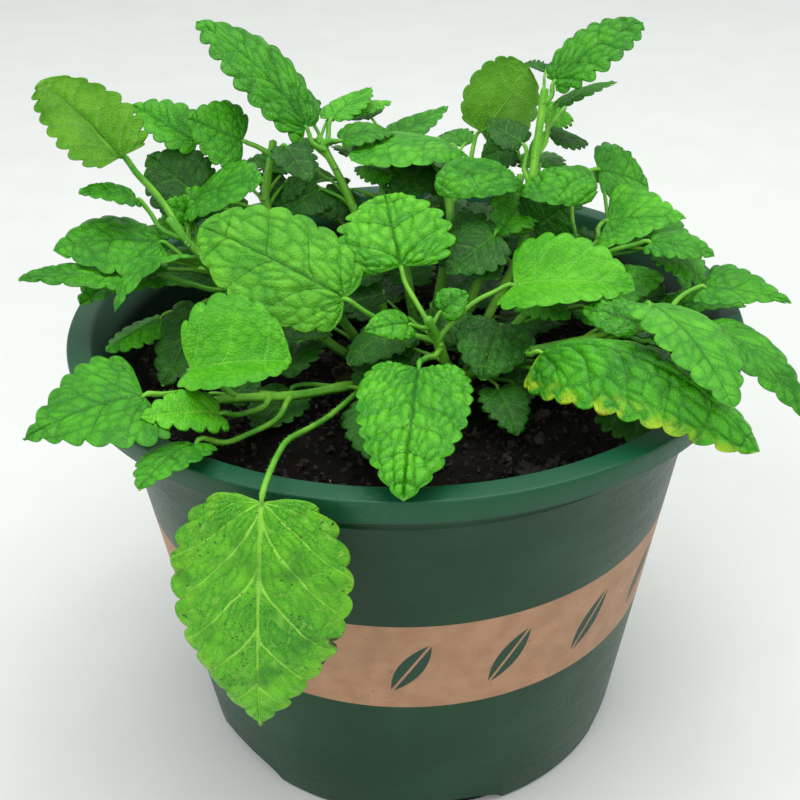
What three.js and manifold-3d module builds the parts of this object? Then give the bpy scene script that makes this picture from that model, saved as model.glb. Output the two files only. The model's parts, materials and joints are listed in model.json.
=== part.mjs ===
// A lemon balm plant growing in a round green plastic nursery pot.
// Millimetres, +Z up. The origin is the middle of the pot's flat underside.
import * as THREE from 'three';
import Module from 'manifold-3d';
import { mergeVertices } from 'three/addons/utils/BufferGeometryUtils.js';

// Pot
const potHeight = 128.4;
const rimRadius = 90;
const rimWidth = 6.4;
const rimThickness = 2;
const collarHeight = 6.2;
const rimOverhang = 9.5;
const baseRadius = 63.4;
const wall = 1.6;
const floorThickness = 2.2;
const beadDrop = 15.4;
const beadSize = 1.1;
const shoulderDrop = 6.4;
const potSegments = 60;

// Arched drainage slots round the bottom corner of the pot
const slotCount = 6;
const slotWidth = 30;
const slotHeight = 5.5;
const slotReach = 10;
const firstSlotAngle = -20;
const slotSegments = 24;

// Soil, root crown and the gap between neighbouring pieces
const clearance = 0.3;
const soilBelowRim = 18.4;
const soilLump = 1.1;
const crownRadius = 21;
const crownRise = 3;
const crownDepth = 9;
const rootNeck = 7;
const rootTip = 2.5;
const rootLength = 66;

// Plant
const stemRadius = 1.35;
const stemTilt = 0.7;
const elbow = 2;
const stemTaper = 0.72;
const petioleRadius = 0.85;
const leafThickness = 0.9;

// The pot that the places of the stems and leaves are written for
const layoutRim = 90;
const layoutSoilBelowRim = 18.4;
const layoutCrown = 21;

const bodyTopRadius = rimRadius - rimOverhang;
const soilTop = potHeight - soilBelowRim;
const growth = rimRadius / layoutRim;
const rad = THREE.MathUtils.degToRad;
const vec = (p) => new THREE.Vector3(p[0], p[1], p[2]);

const wasm = await Module();
wasm.setup();

const colours = {
  pot: 0x34584a,
  soil: 0x17130f,
  crown: 0x6a5436,
  stem: 0x5f8a34,
  fresh: 0x6cae3c,
  mature: 0x3f8a2a,
  dark: 0x2a5f22,
};

function material(colour, roughness) {
  return new THREE.MeshStandardMaterial({ color: colour, roughness, metalness: 0 });
}

function named(name, geometry, colour, roughness) {
  const mesh = new THREE.Mesh(geometry, material(colour, roughness));
  mesh.name = name;
  return mesh;
}

// A solid of revolution about Z from a profile of [radius, height] points, outside running upwards.
function revolved(profile, segments) {
  const points = profile.map(([r, z]) => new THREE.Vector2(r, z));
  return new THREE.LatheGeometry(points, segments).rotateX(Math.PI / 2);
}

function toSolid(geometry) {
  const bare = geometry.index ? geometry.toNonIndexed() : geometry.clone();
  bare.deleteAttribute('normal');
  bare.deleteAttribute('uv');
  const merged = mergeVertices(bare, 1e-4);
  const mesh = new wasm.Mesh({
    numProp: 3,
    vertProperties: merged.attributes.position.array,
    triVerts: new Uint32Array(merged.index.array),
  });
  return new wasm.Manifold(mesh);
}

function fromSolid(solid) {
  const mesh = solid.getMesh();
  const geometry = new THREE.BufferGeometry();
  geometry.setAttribute('position', new THREE.BufferAttribute(mesh.vertProperties, 3));
  geometry.setIndex(new THREE.BufferAttribute(mesh.triVerts, 1));
  geometry.computeVertexNormals();
  return geometry;
}

// ---- Pot -------------------------------------------------------------------------------------

// Outside radius of the tapered body at a height above the base.
function bodyRadius(z) {
  return THREE.MathUtils.lerp(baseRadius, bodyTopRadius, z / (potHeight - shoulderDrop));
}

function innerRadius(z) {
  return bodyRadius(z) - wall;
}

function potShell() {
  const beadZ = potHeight - beadDrop;
  const shoulderZ = potHeight - shoulderDrop;
  const underRim = potHeight - rimThickness;
  const skirtInside = rimRadius - wall;
  const rimInside = rimRadius - rimWidth;
  const profile = [
    [0, 0],
    [baseRadius, 0],
    [bodyRadius(beadZ), beadZ],
    [bodyRadius(beadZ) + beadSize, beadZ + 0.5],
    [bodyRadius(beadZ) + beadSize, beadZ + 1.5],
    [bodyRadius(shoulderZ) + beadSize, shoulderZ - 1],
    [rimInside + wall, underRim],
    [skirtInside, underRim],
    [skirtInside - 0.4, potHeight - collarHeight],
    [rimRadius - 0.5, potHeight - collarHeight],
    [rimRadius, potHeight - 1.2],
    [rimRadius - 0.6, potHeight - 0.3],
    [rimRadius - 1.6, potHeight],
    [rimInside + 0.8, potHeight],
    [rimInside, potHeight - 0.8],
    [innerRadius(shoulderZ - 2), shoulderZ - 2],
    [innerRadius(floorThickness), floorThickness],
    [0, floorThickness],
  ];
  return revolved(profile, potSegments);
}

// A cylinder of elliptical section lying along the radius, which cuts one arched slot.
function slotCutter(angle) {
  const reach = slotReach * 2;
  const cutter = new THREE.CylinderGeometry(1, 1, reach, slotSegments);
  cutter.rotateZ(Math.PI / 2);
  cutter.scale(1, slotWidth / 2, slotHeight);
  cutter.translate(baseRadius, 0, 0);
  cutter.rotateZ(rad(angle));
  return cutter;
}

function makePot() {
  let solid = toSolid(potShell());
  for (let i = 0; i < slotCount; i += 1) {
    const angle = firstSlotAngle + (i * 360) / slotCount;
    solid = solid.subtract(toSolid(slotCutter(angle)));
  }
  return named('pot', fromSolid(solid), colours.pot, 0.42);
}

// ---- Soil and root crown ---------------------------------------------------------------------

// Height of the crown's domed top above the soil level, at a distance from the axis.
function crownTop(r) {
  return crownRise * (1 - (r / crownRadius) ** 2);
}

function makeCrown() {
  const profile = [
    [0, soilTop - rootLength],
    [rootTip, soilTop - rootLength + 1.5],
    [rootNeck, soilTop - crownDepth - 14],
    [crownRadius * 0.7, soilTop - crownDepth],
    [crownRadius, soilTop - crownDepth * 0.5],
    [crownRadius, soilTop],
    [crownRadius * 0.75, soilTop + crownTop(crownRadius * 0.75)],
    [crownRadius * 0.4, soilTop + crownTop(crownRadius * 0.4)],
    [0, soilTop + crownRise],
  ];
  return named('root_crown', revolved(profile, 24), colours.crown, 0.9);
}

// The soil fills the pot below the rim, with an open pocket in the middle for the root crown.
function makeSoil() {
  const bottom = floorThickness + clearance;
  const outside = (z) => innerRadius(z) - clearance * 2;
  const pocket = crownRadius + clearance;
  const profile = [
    [0, bottom],
    [outside(bottom), bottom],
    [outside(soilTop), soilTop - 1.5],
    [outside(soilTop) - 10, soilTop - 0.4],
    [outside(soilTop) - 24, soilTop],
    [pocket + 16, soilTop - 0.2],
    [pocket, soilTop - 0.2],
    [pocket, soilTop - crownDepth * 0.5 - clearance],
    [crownRadius * 0.7 + clearance, soilTop - crownDepth - clearance * 2],
    [rootNeck + clearance * 2, soilTop - crownDepth - 14 - clearance],
    [rootTip + clearance * 2, soilTop - rootLength + 1],
    [0, soilTop - rootLength - 1],
  ];
  const geometry = revolved(profile, 40);
  const position = geometry.attributes.position;
  for (let i = 0; i < position.count; i += 1) {
    const x = position.getX(i);
    const y = position.getY(i);
    const r = Math.hypot(x, y);
    if (position.getZ(i) < soilTop - 1 || r < pocket + 1) continue;
    const lump = Math.sin(x * 0.23) * Math.cos(y * 0.19) + 0.5 * Math.sin((x + y) * 0.11);
    position.setZ(i, position.getZ(i) + soilLump * lump);
  }
  geometry.computeVertexNormals();
  return named('soil', geometry, colours.soil, 0.95);
}

// ---- Stems and leaves ------------------------------------------------------------------------

// Joins rings of eight points into one closed skin, with a pole before the first and after the last.
function ringSkin(rings, first, last) {
  const sides = rings[0].length;
  const points = [first, ...rings.flat(), last];
  const faces = [];
  const at = (ring, side) => 1 + ring * sides + (side % sides);
  for (let side = 0; side < sides; side += 1) {
    faces.push(0, at(0, side + 1), at(0, side));
    for (let ring = 0; ring < rings.length - 1; ring += 1) {
      faces.push(at(ring, side), at(ring, side + 1), at(ring + 1, side + 1));
      faces.push(at(ring, side), at(ring + 1, side + 1), at(ring + 1, side));
    }
    faces.push(at(rings.length - 1, side), at(rings.length - 1, side + 1), points.length - 1);
  }
  const geometry = new THREE.BufferGeometry().setFromPoints(points);
  geometry.setIndex(faces);
  geometry.computeVertexNormals();
  return geometry;
}

// Eight points round a centre: left edge, over the top to the right edge, and back underneath.
// half is the half width, inset the share of it where the flank points lie, and flank their height
// either side of a middle surface raised by lift. crest is the height of the two middle points,
// edgeLift that of the edges, and back how far the edges sweep behind the centre along the leaf.
function ring(centre, across, up, shape) {
  const { half, inset, flank, crest, lift, edgeLift, back, along } = shape;
  const put = (a, u, b) =>
    centre
      .clone()
      .addScaledVector(across, a)
      .addScaledVector(up, u)
      .addScaledVector(along, -b);
  const flankBack = back * inset * 0.6;
  return [
    put(-half, edgeLift, back),
    put(-half * inset, lift + flank, flankBack),
    put(0, crest, 0),
    put(half * inset, lift + flank, flankBack),
    put(half, edgeLift, back),
    put(half * inset, lift - flank, flankBack),
    put(0, -crest, 0),
    put(-half * inset, lift - flank, flankBack),
  ];
}

function roundRing(centre, across, up, radius) {
  const shape = { half: radius, inset: Math.SQRT1_2, flank: radius * Math.SQRT1_2, crest: radius };
  return ring(centre, across, up, { ...shape, lift: 0, edgeLift: 0, back: 0, along: up });
}

// Direction square to "along" that lies nearest to "wanted".
function squareTo(along, wanted) {
  return wanted.clone().addScaledVector(along, -wanted.dot(along)).normalize();
}

// Places in the plant are [x, y, height above the soil], in a pot of the layout's size. The plant
// grows with the rim, and what lies out at the rim keeps its height over the rim, not the soil.
function inPot(p) {
  const outwards = Math.min(1, Math.hypot(p[0], p[1]) / layoutRim);
  const lift = (soilBelowRim - layoutSoilBelowRim * growth) * outwards ** 0.5;
  return vec([p[0] * growth, p[1] * growth, p[2] * growth + lift + soilTop]);
}

// A stem runs from its seat on the root crown through its listed places to its tip.
function makeStem(spec) {
  const radius = stemRadius * growth;
  const places = spec.path.map(inPot);
  const [x, y] = spec.path[0].map((value) => (value * crownRadius) / layoutCrown);
  places[0].set(x, y, soilTop + crownTop(Math.hypot(x, y)) + clearance + radius * stemTilt);
  const curve = new THREE.CatmullRomCurve3(places, false, 'centripetal');
  const steps = Math.max(5, Math.round(curve.getLength() / 7));
  const rings = [];
  for (let i = 0; i <= steps; i += 1) {
    const u = i / steps;
    const along = curve.getTangentAt(u);
    const up = squareTo(along, new THREE.Vector3(0, -0.3, 1));
    const across = along.clone().cross(up);
    rings.push(roundRing(curve.getPointAt(u), across, up, radius * (1 - (1 - stemTaper) * u)));
  }
  const below = curve.getPointAt(0).add(new THREE.Vector3(0, 0, -0.2));
  const above = curve.getPointAt(1).addScaledVector(curve.getTangentAt(1), radius);
  return { ...spec, curve, radius, geometry: ringSkin(rings, below, above) };
}

const bladeStations = [0.03, 0.09, 0.19, 0.32, 0.46, 0.6, 0.73, 0.85, 0.94];
const petioleStations = [0, 0.3, 0.6, 0.85, 1];

// Half width of a blade as a share of its widest, from 0 at the base to 1 at the tip.
function outline(t, broad, taper) {
  const widest = broad / (broad + taper);
  return (t / widest) ** broad * ((1 - t) / (1 - widest)) ** taper;
}

// A leaf is its petiole and its blade in one skin. It leaves the stem at "at" (0 root, 1 tip).
function makeLeaf(spec, stem) {
  const { width, arch = 0, fold = 0, dome = 0.4, lobe = 0.08 } = spec;
  const { broad = 0.4, taper = 0.85 } = spec;
  const base = inPot(spec.base);
  const tip = inPot(spec.tip);
  const chord = tip.clone().sub(base);
  const length = chord.length();
  chord.normalize();
  const face = squareTo(chord, vec(spec.face ?? [0, 0, 1]));
  const midrib = (t) =>
    base
      .clone()
      .addScaledVector(chord, length * t)
      .addScaledVector(face, 4 * arch * growth * t * (1 - t));
  const direction = (t) =>
    midrib(Math.min(1, t + 0.01))
      .sub(midrib(Math.max(0, t - 0.01)))
      .normalize();

  const stemPoint = stem.curve.getPointAt(spec.at);
  const stemAlong = stem.curve.getTangentAt(spec.at);
  const stemHalf = stem.radius * (1 - (1 - stemTaper) * spec.at);
  const towards = spec.via ? inPot(spec.via[0]) : base.clone();
  const outwards = squareTo(stemAlong, towards.sub(stemPoint));
  const stalkRadius = petioleRadius * growth * (spec.stalk ?? 1);
  const offset = stemHalf + clearance + stalkRadius * 0.15;
  const start = stemPoint.clone().addScaledVector(outwards, offset);
  const reach = start.distanceTo(base);
  const leave = outwards.clone().addScaledVector(stemAlong, 0.5).normalize();
  const bend = start.clone().addScaledVector(leave, reach * 0.35);
  const arrive = base.clone().addScaledVector(direction(0), -reach * 0.35);
  const clear = start.clone().addScaledVector(leave, elbow);
  const stalk = spec.via
    ? new THREE.CatmullRomCurve3([start.clone(), clear, ...spec.via.map(inPot), base.clone()])
    : new THREE.CubicBezierCurve3(start.clone(), bend, arrive, base.clone());

  const rings = petioleStations.map((u) => {
    const along = stalk.getTangentAt(u);
    const up = squareTo(along, face);
    return roundRing(stalk.getPointAt(u), along.clone().cross(up), up, stalkRadius);
  });
  for (const t of bladeStations) {
    const along = direction(t);
    const up = squareTo(along, face);
    const share = outline(t, broad, taper);
    const half = (width / 2) * growth * share;
    const thick = (leafThickness / 2) * growth * (1 - 0.35 * t);
    rings.push(
      ring(midrib(t), along.clone().cross(up), up, {
        half: half * Math.cos(rad(fold)),
        inset: 0.55,
        flank: thick * 0.85,
        crest: thick,
        lift: half * 0.55 * Math.sin(rad(fold)) + dome * growth * share,
        edgeLift: half * Math.sin(rad(fold)),
        back: lobe * length * Math.min(1, t / 0.03) * Math.max(0, 1 - t / 0.5) ** 1.5,
        along,
      }),
    );
  }
  const end = midrib(1);
  const geometry = ringSkin(rings, start.addScaledVector(outwards, -0.1), end);
  return named(spec.name, geometry, colours[spec.tone ?? 'mature'], 0.55);
}

// Each stem: its places from root to tip.
const stems = [
  { name: 'stem_centre', path: [[9, -12, 0], [11, -18, 8], [9, -22, 17], [6, -24, 26]] },
  {
    name: 'stem_front_left',
    path: [[-6, -14, 0], [-12, -22, 7], [-29, -34, 11], [-42, -43, 16], [-50, -48, 18]],
  },
  { name: 'stem_left', path: [[-14, -4, 0], [-24, -4, 13], [-41, -2, 25], [-55, 0, 36], [-61, 2, 43]] },
  { name: 'stem_upper_left', path: [[-13, 6, 0], [-22, 9, 18], [-38, 22, 38], [-36, 29, 54]] },
  { name: 'stem_back', path: [[-5, 11, 0], [-8, 16, 19], [-15, 28, 38], [-23, 35, 53]] },
  { name: 'stem_back_centre', path: [[3, 14, 0], [0, 21, 21], [-6, 34, 37], [-2, 42, 46]] },
  { name: 'stem_middle', path: [[7, 6, 0], [10, 10, 20], [13, 19, 34], [12, 34, 44]] },
  { name: 'stem_cluster', path: [[14, 4, 0], [19, 5, 20], [26, 12, 34], [32, 21, 46]] },
  { name: 'stem_right', path: [[16, -3, 0], [23, 1, 15], [33, 14, 31], [37, 30, 48], [40, 40, 64]] },
  { name: 'stem_far_right', path: [[16, -9, 0], [29, -5, 14], [45, 7, 26], [56, 16, 31]] },
  {
    name: 'stem_runner',
    path: [[14, -14, 0], [23, -20, 12], [41, -27, 21], [58, -31, 27], [67, -28, 30]],
  },
];

// Each leaf: where it joins its stem, the base and tip of its blade, the way its upper side looks, its
// width, and how its blade arches, folds and domes.
const leaves = [
  // central shoot
  { name: 'leaf_centre_young_left', stem: 'stem_centre', at: 0.97, base: [1, -27, 27], tip: [-10, -34, 29],
    face: [0, -0.5, 0.9], width: 10, arch: 1, stalk: 0.8, tone: 'fresh' },
  { name: 'leaf_centre_young_right', stem: 'stem_centre', at: 0.97, base: [9, -22, 28], tip: [16, -20, 32],
    face: [-0.2, -0.7, 0.7], width: 9, arch: 1, stalk: 0.8, tone: 'fresh' },
  { name: 'leaf_centre_back', stem: 'stem_centre', at: 0.88, base: [-1, -10, 35], tip: [-5, 8, 48],
    face: [0, -0.6, 0.8], width: 30, arch: 1, broad: 0.3, taper: 0.6 },
  { name: 'leaf_centre_front', stem: 'stem_centre', at: 0.7, base: [3, -50, 28], tip: [-1, -94, 22],
    face: [0, -0.25, 1], width: 25.5, arch: 3, broad: 0.32, taper: 0.7 },
  { name: 'leaf_centre_left', stem: 'stem_centre', at: 0.8, base: [-15, -24, 33], tip: [-51, -14, 49],
    face: [0, -0.6, 0.8], width: 29, arch: 2, fold: -6, taper: 0.6, tone: 'fresh' },
  { name: 'leaf_centre_right', stem: 'stem_centre', at: 0.8, base: [28, -14, 31], tip: [57, -24, 34],
    face: [0, -0.3, 1], width: 28, arch: 2, fold: 16, broad: 0.26, taper: 0.7, tone: 'fresh' },
  // left front runner
  { name: 'leaf_runner_upper', stem: 'stem_front_left', at: 0.85, base: [-51, -46, 26], tip: [-27, -46, 28],
    face: [0, -0.4, 0.9], width: 32, arch: 1, fold: 32, broad: 0.4, taper: 0.55, tone: 'fresh' },
  { name: 'leaf_runner_lower', stem: 'stem_front_left', at: 0.68, base: [-43, -58, 21], tip: [-58, -70, 28],
    face: [0, -0.5, 0.9], width: 12, fold: 6, arch: 1, tone: 'fresh' },
  { name: 'leaf_rim_left', stem: 'stem_front_left', at: 0.98, base: [-59, -61, 28], tip: [-83, -75, 26],
    face: [-0.1, -0.35, 0.93], width: 30, arch: 2, broad: 0.25, taper: 1.05 },
  { name: 'leaf_rim_drooping', stem: 'stem_front_left', at: 0.58, base: [-47, -69, 20], tip: [-56, -88, 21],
    via: [[-29, -42, 12], [-37, -56, 14]], face: [-0.3, -0.3, 0.9], width: 15, arch: 2 },
  { name: 'leaf_under_runner', stem: 'stem_front_left', at: 0.7, base: [-44, -38, 13], tip: [-36, -33, 17],
    face: [0, -0.4, 0.9], width: 9, tone: 'dark' },
  { name: 'leaf_soil_left', stem: 'stem_front_left', at: 0.3, base: [-30, -24, 7], tip: [-38, -40, 5],
    face: [0, -0.2, 1], width: 15, tone: 'dark' },
  { name: 'leaf_front_hanging', stem: 'stem_front_left', at: 0.2, base: [-30, -93, 21], tip: [-35, -95, -41],
    via: [[-17, -40, 10], [-23, -56, 16], [-27, -74, 22], [-29, -88, 24]],
    face: [-0.1, -1, 0.1], width: 39, arch: 3, fold: -8, lobe: 0.05, broad: 0.5, taper: 1 },
  // left shoot
  { name: 'leaf_left_upper', stem: 'stem_left', at: 0.97, base: [-74, 12, 58], tip: [-90, 5, 80],
    face: [0.25, 0.9, 0.2], width: 28, arch: 1, stalk: 1.4, lobe: 0.04, broad: 0.32, taper: 0.6 },
  { name: 'leaf_left_small', stem: 'stem_left', at: 0.95, base: [-70, 4, 49], tip: [-83, -2, 53],
    width: 14, arch: 1 },
  { name: 'leaf_left_broad', stem: 'stem_left', at: 0.75, base: [-64, -1, 39], tip: [-89, -12, 42],
    face: [0, -0.3, 0.95], width: 24, arch: 2, fold: -10 },
  { name: 'leaf_left_long', stem: 'stem_left', at: 0.62, base: [-64, -9, 33], tip: [-95, -24, 39],
    face: [0, -0.1, 1], width: 15, arch: 1 },
  { name: 'leaf_left_curled', stem: 'stem_left', at: 0.5, base: [-53, -9, 36], tip: [-71, -31, 34],
    face: [0, 0.4, 0.9], width: 14, arch: 6 },
  { name: 'leaf_left_shaded', stem: 'stem_left', at: 0.45, base: [-54, -10, 24], tip: [-63, -25, 9],
    face: [-0.3, -0.6, 0.6], width: 17, tone: 'dark' },
  { name: 'leaf_left_back', stem: 'stem_upper_left', at: 0.7, base: [-57, 19, 44], tip: [-70, 24, 54],
    face: [0, -0.7, 0.7], width: 20, tone: 'dark' },
  { name: 'leaf_left_inner', stem: 'stem_left', at: 0.85, base: [-57, 14, 44], tip: [-37, 4, 53],
    face: [0, -0.4, 0.9], width: 20, arch: 2, taper: 0.6 },
  // upper left stem
  { name: 'leaf_far_left', stem: 'stem_upper_left', at: 0.85, base: [-57, 30, 55], tip: [-75, 34, 65],
    face: [0.1, -0.4, 0.85], width: 16, fold: 15, tone: 'fresh' },
  { name: 'leaf_upper_left', stem: 'stem_upper_left', at: 0.97, base: [-44, 28, 56], tip: [-58, 24, 64],
    face: [0.3, -0.6, 0.7], width: 20 },
  { name: 'leaf_upper_inner', stem: 'stem_upper_left', at: 0.97, base: [-32, 26, 55], tip: [-25, 17, 48],
    face: [0.3, -0.3, 0.8], width: 13, tone: 'dark' },
  // back stem
  { name: 'leaf_top_left', stem: 'stem_back', at: 0.98, base: [-27, 36, 57], tip: [-56, 43, 85],
    face: [0.45, -0.3, 0.8], width: 25, arch: 3, broad: 0.42, taper: 0.7, tone: 'dark' },
  { name: 'leaf_back_far', stem: 'stem_back', at: 0.98, base: [-20, 43, 57], tip: [-9, 60, 61],
    face: [0.2, 0.3, 1], width: 12, tone: 'fresh' },
  { name: 'leaf_back_inner', stem: 'stem_back', at: 0.98, base: [-17, 33, 54], tip: [-2, 38, 54],
    face: [0, -0.2, 1], width: 13, arch: 2 },
  // back centre stem
  { name: 'leaf_back_arrow', stem: 'stem_back_centre', at: 0.97, base: [-1, 58, 47], tip: [14, 66, 53],
    face: [0, 0, 1], width: 16, lobe: 0.2, broad: 0.2, taper: 0.9 },
  { name: 'leaf_back_light', stem: 'stem_middle', at: 0.97, base: [14, 42, 49], tip: [-14, 24, 51],
    face: [0, -0.1, 1], width: 26, arch: 3, fold: -6, taper: 0.6, tone: 'fresh' },
  { name: 'leaf_back_fan', stem: 'stem_middle', at: 0.8, base: [23, 50, 50], tip: [37, 57, 67],
    face: [-0.2, 0.8, 0.5], width: 34, broad: 0.35, taper: 0.5, tone: 'fresh' },
  { name: 'leaf_inner_shaded', stem: 'stem_middle', at: 0.5, base: [24, 2, 38], tip: [11, -6, 31],
    face: [0, -0.4, 0.8], width: 16, tone: 'dark' },
  // clustered shoot
  { name: 'leaf_cluster_left', stem: 'stem_cluster', at: 0.97, base: [29, 19, 49], tip: [9, 7, 48],
    face: [0, -0.2, 1], width: 21, arch: 3, fold: -8, taper: 0.6 },
  { name: 'leaf_cluster_right', stem: 'stem_cluster', at: 0.88, base: [36, 18, 48], tip: [50, 7, 45],
    face: [0.1, -0.2, 1], width: 25, arch: 3, fold: -8, taper: 0.6 },
  { name: 'leaf_cluster_under', stem: 'stem_cluster', at: 0.7, base: [35, 10, 36], tip: [43, 4, 45],
    face: [0.2, -0.8, 0.5], width: 17, tone: 'dark' },
  // right back stem
  { name: 'leaf_top_right', stem: 'stem_right', at: 0.98, base: [43, 42, 67], tip: [67, 45, 82],
    face: [-0.4, -0.4, 0.8], width: 20, arch: 2, broad: 0.45, taper: 0.6, tone: 'dark' },
  { name: 'leaf_right_narrow', stem: 'stem_right', at: 0.8, base: [45, 45, 59], tip: [62, 50, 64],
    face: [0, 0.2, 1], width: 12, arch: 1 },
  { name: 'leaf_right_inner', stem: 'stem_right', at: 0.7, base: [34, 36, 51], tip: [24, 42, 56],
    face: [0.2, -0.4, 0.8], width: 12, tone: 'dark' },
  { name: 'leaf_right_lobed', stem: 'stem_right', at: 0.6, base: [43, 47, 50], tip: [55, 50, 46],
    face: [0, -0.2, 1], width: 13, tone: 'dark' },
  // far right stem
  { name: 'leaf_far_right_back', stem: 'stem_far_right', at: 0.85, base: [57, 40, 41], tip: [73, 46, 33],
    face: [0.2, -0.5, 0.85], width: 22, arch: 1 },
  { name: 'leaf_far_right', stem: 'stem_far_right', at: 0.97, base: [57, 20, 34], tip: [77, 13, 37],
    face: [0, -0.25, 1], width: 30, arch: 1, fold: 5, broad: 0.24, taper: 1.1 },
  { name: 'leaf_far_right_low', stem: 'stem_far_right', at: 0.78, base: [65, 0, 36], tip: [80, -9, 36],
    face: [0, -0.2, 1], width: 13, arch: 1 },
  // right runner
  { name: 'leaf_rim_right_back', stem: 'stem_runner', at: 0.98, base: [77, -15, 30], tip: [96, -25, 30],
    face: [0, -0.1, 1], width: 20, arch: 1, fold: 8, broad: 0.25, taper: 1.1 },
  { name: 'leaf_rim_right_long', stem: 'stem_runner', at: 0.95, base: [74, -31, 27], tip: [94, -54, 14],
    face: [0.4, -0.3, 0.8], width: 17, arch: 4 },
  { name: 'leaf_rim_right_front', stem: 'stem_runner', at: 0.9, base: [57, -42, 39], tip: [68, -80, 34],
    face: [0.35, -0.6, 0.8], width: 19, arch: 3, taper: 0.7, tone: 'fresh' },
  { name: 'leaf_front_large', stem: 'stem_runner', at: 0.4, base: [32, -42, 27], tip: [76, -77, 21],
    face: [0, -0.2, 1], width: 30, arch: 11, fold: -28, broad: 0.32, taper: 0.6 },
  { name: 'leaf_right_young', stem: 'stem_runner', at: 0.7, base: [56, -36, 31], tip: [43, -30, 32],
    face: [0, -0.4, 0.9], width: 12, arch: 1, stalk: 0.8 },
];

function makePlant() {
  const grown = new Map(stems.map((spec) => [spec.name, makeStem(spec)]));
  const plant = new THREE.Group();
  for (const stem of grown.values()) {
    plant.add(named(stem.name, stem.geometry, colours.stem, 0.6));
  }
  for (const spec of leaves) {
    plant.add(makeLeaf(spec, grown.get(spec.stem)));
  }
  return plant;
}

const lemonBalm = new THREE.Group();
lemonBalm.add(makePot(), makeSoil(), makeCrown(), makePlant());

export default lemonBalm;
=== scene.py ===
"""A potted lemon balm: leaves, stems, soil and pot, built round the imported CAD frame.

Lengths are metres unless a name ends in _MM. The frame's origin is the middle of the pot's underside.
"""

import json
import math

import bpy
import numpy as np
from mathutils import Matrix, Vector
from numpy.linalg import norm


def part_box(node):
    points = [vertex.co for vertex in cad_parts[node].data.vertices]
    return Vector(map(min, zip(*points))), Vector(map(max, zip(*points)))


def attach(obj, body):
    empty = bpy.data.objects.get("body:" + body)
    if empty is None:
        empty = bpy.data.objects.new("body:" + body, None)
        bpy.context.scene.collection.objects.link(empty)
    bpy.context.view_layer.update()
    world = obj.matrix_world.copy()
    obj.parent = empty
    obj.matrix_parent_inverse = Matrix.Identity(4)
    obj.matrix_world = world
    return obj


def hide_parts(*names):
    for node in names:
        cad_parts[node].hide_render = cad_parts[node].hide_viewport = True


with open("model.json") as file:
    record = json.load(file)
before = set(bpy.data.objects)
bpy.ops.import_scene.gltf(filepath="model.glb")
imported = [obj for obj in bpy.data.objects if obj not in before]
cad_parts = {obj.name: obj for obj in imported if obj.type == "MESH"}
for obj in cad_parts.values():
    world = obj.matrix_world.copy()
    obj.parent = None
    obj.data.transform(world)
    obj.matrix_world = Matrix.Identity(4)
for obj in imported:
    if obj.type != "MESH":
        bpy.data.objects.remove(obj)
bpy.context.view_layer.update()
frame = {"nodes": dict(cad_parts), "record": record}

MM = 0.001
SIDES = 8  # points in each ring of a CAD stem or leaf
PETIOLE_RINGS = 5
# where the rows and columns of a CAD blade lie: shares of its length and of its half width
STATIONS = np.array([0, 0.03, 0.09, 0.19, 0.32, 0.46, 0.6, 0.73, 0.85, 0.94, 1])
COLUMNS = np.array([-1, -0.55, 0, 0.55, 1])
CELL = 0.4 * MM  # size of a blade's faces
TEETH_PER_VEIN = 1.5
BLADE_THICK = 0.32 * MM
HAIR_THICK = 0.045 * MM
# share of the stalk that has hairs, the hairs in each millimetre of it and their length in millimetres
PETIOLE_HAIRS = 0.6, 5, 0.7
SMALL_HAIRS = 0.5, 4, 0.6
STEM_HAIRS = 7, 0.8

POT_LOW, POT_HIGH = (np.array(corner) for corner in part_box("pot"))
RIM_RADIUS = POT_HIGH[0]
POT_HEIGHT = POT_HIGH[2]
CROWN_RISE = 3 * MM
SOIL_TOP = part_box("root_crown")[1].z - CROWN_RISE
SOIL_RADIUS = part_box("soil")[1].x
CROWN_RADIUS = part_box("root_crown")[1].x


# ---- Meshes ----


def placed(name, data):
    made = bpy.data.objects.new(name, data)
    bpy.context.scene.collection.objects.link(made)
    return made


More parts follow.
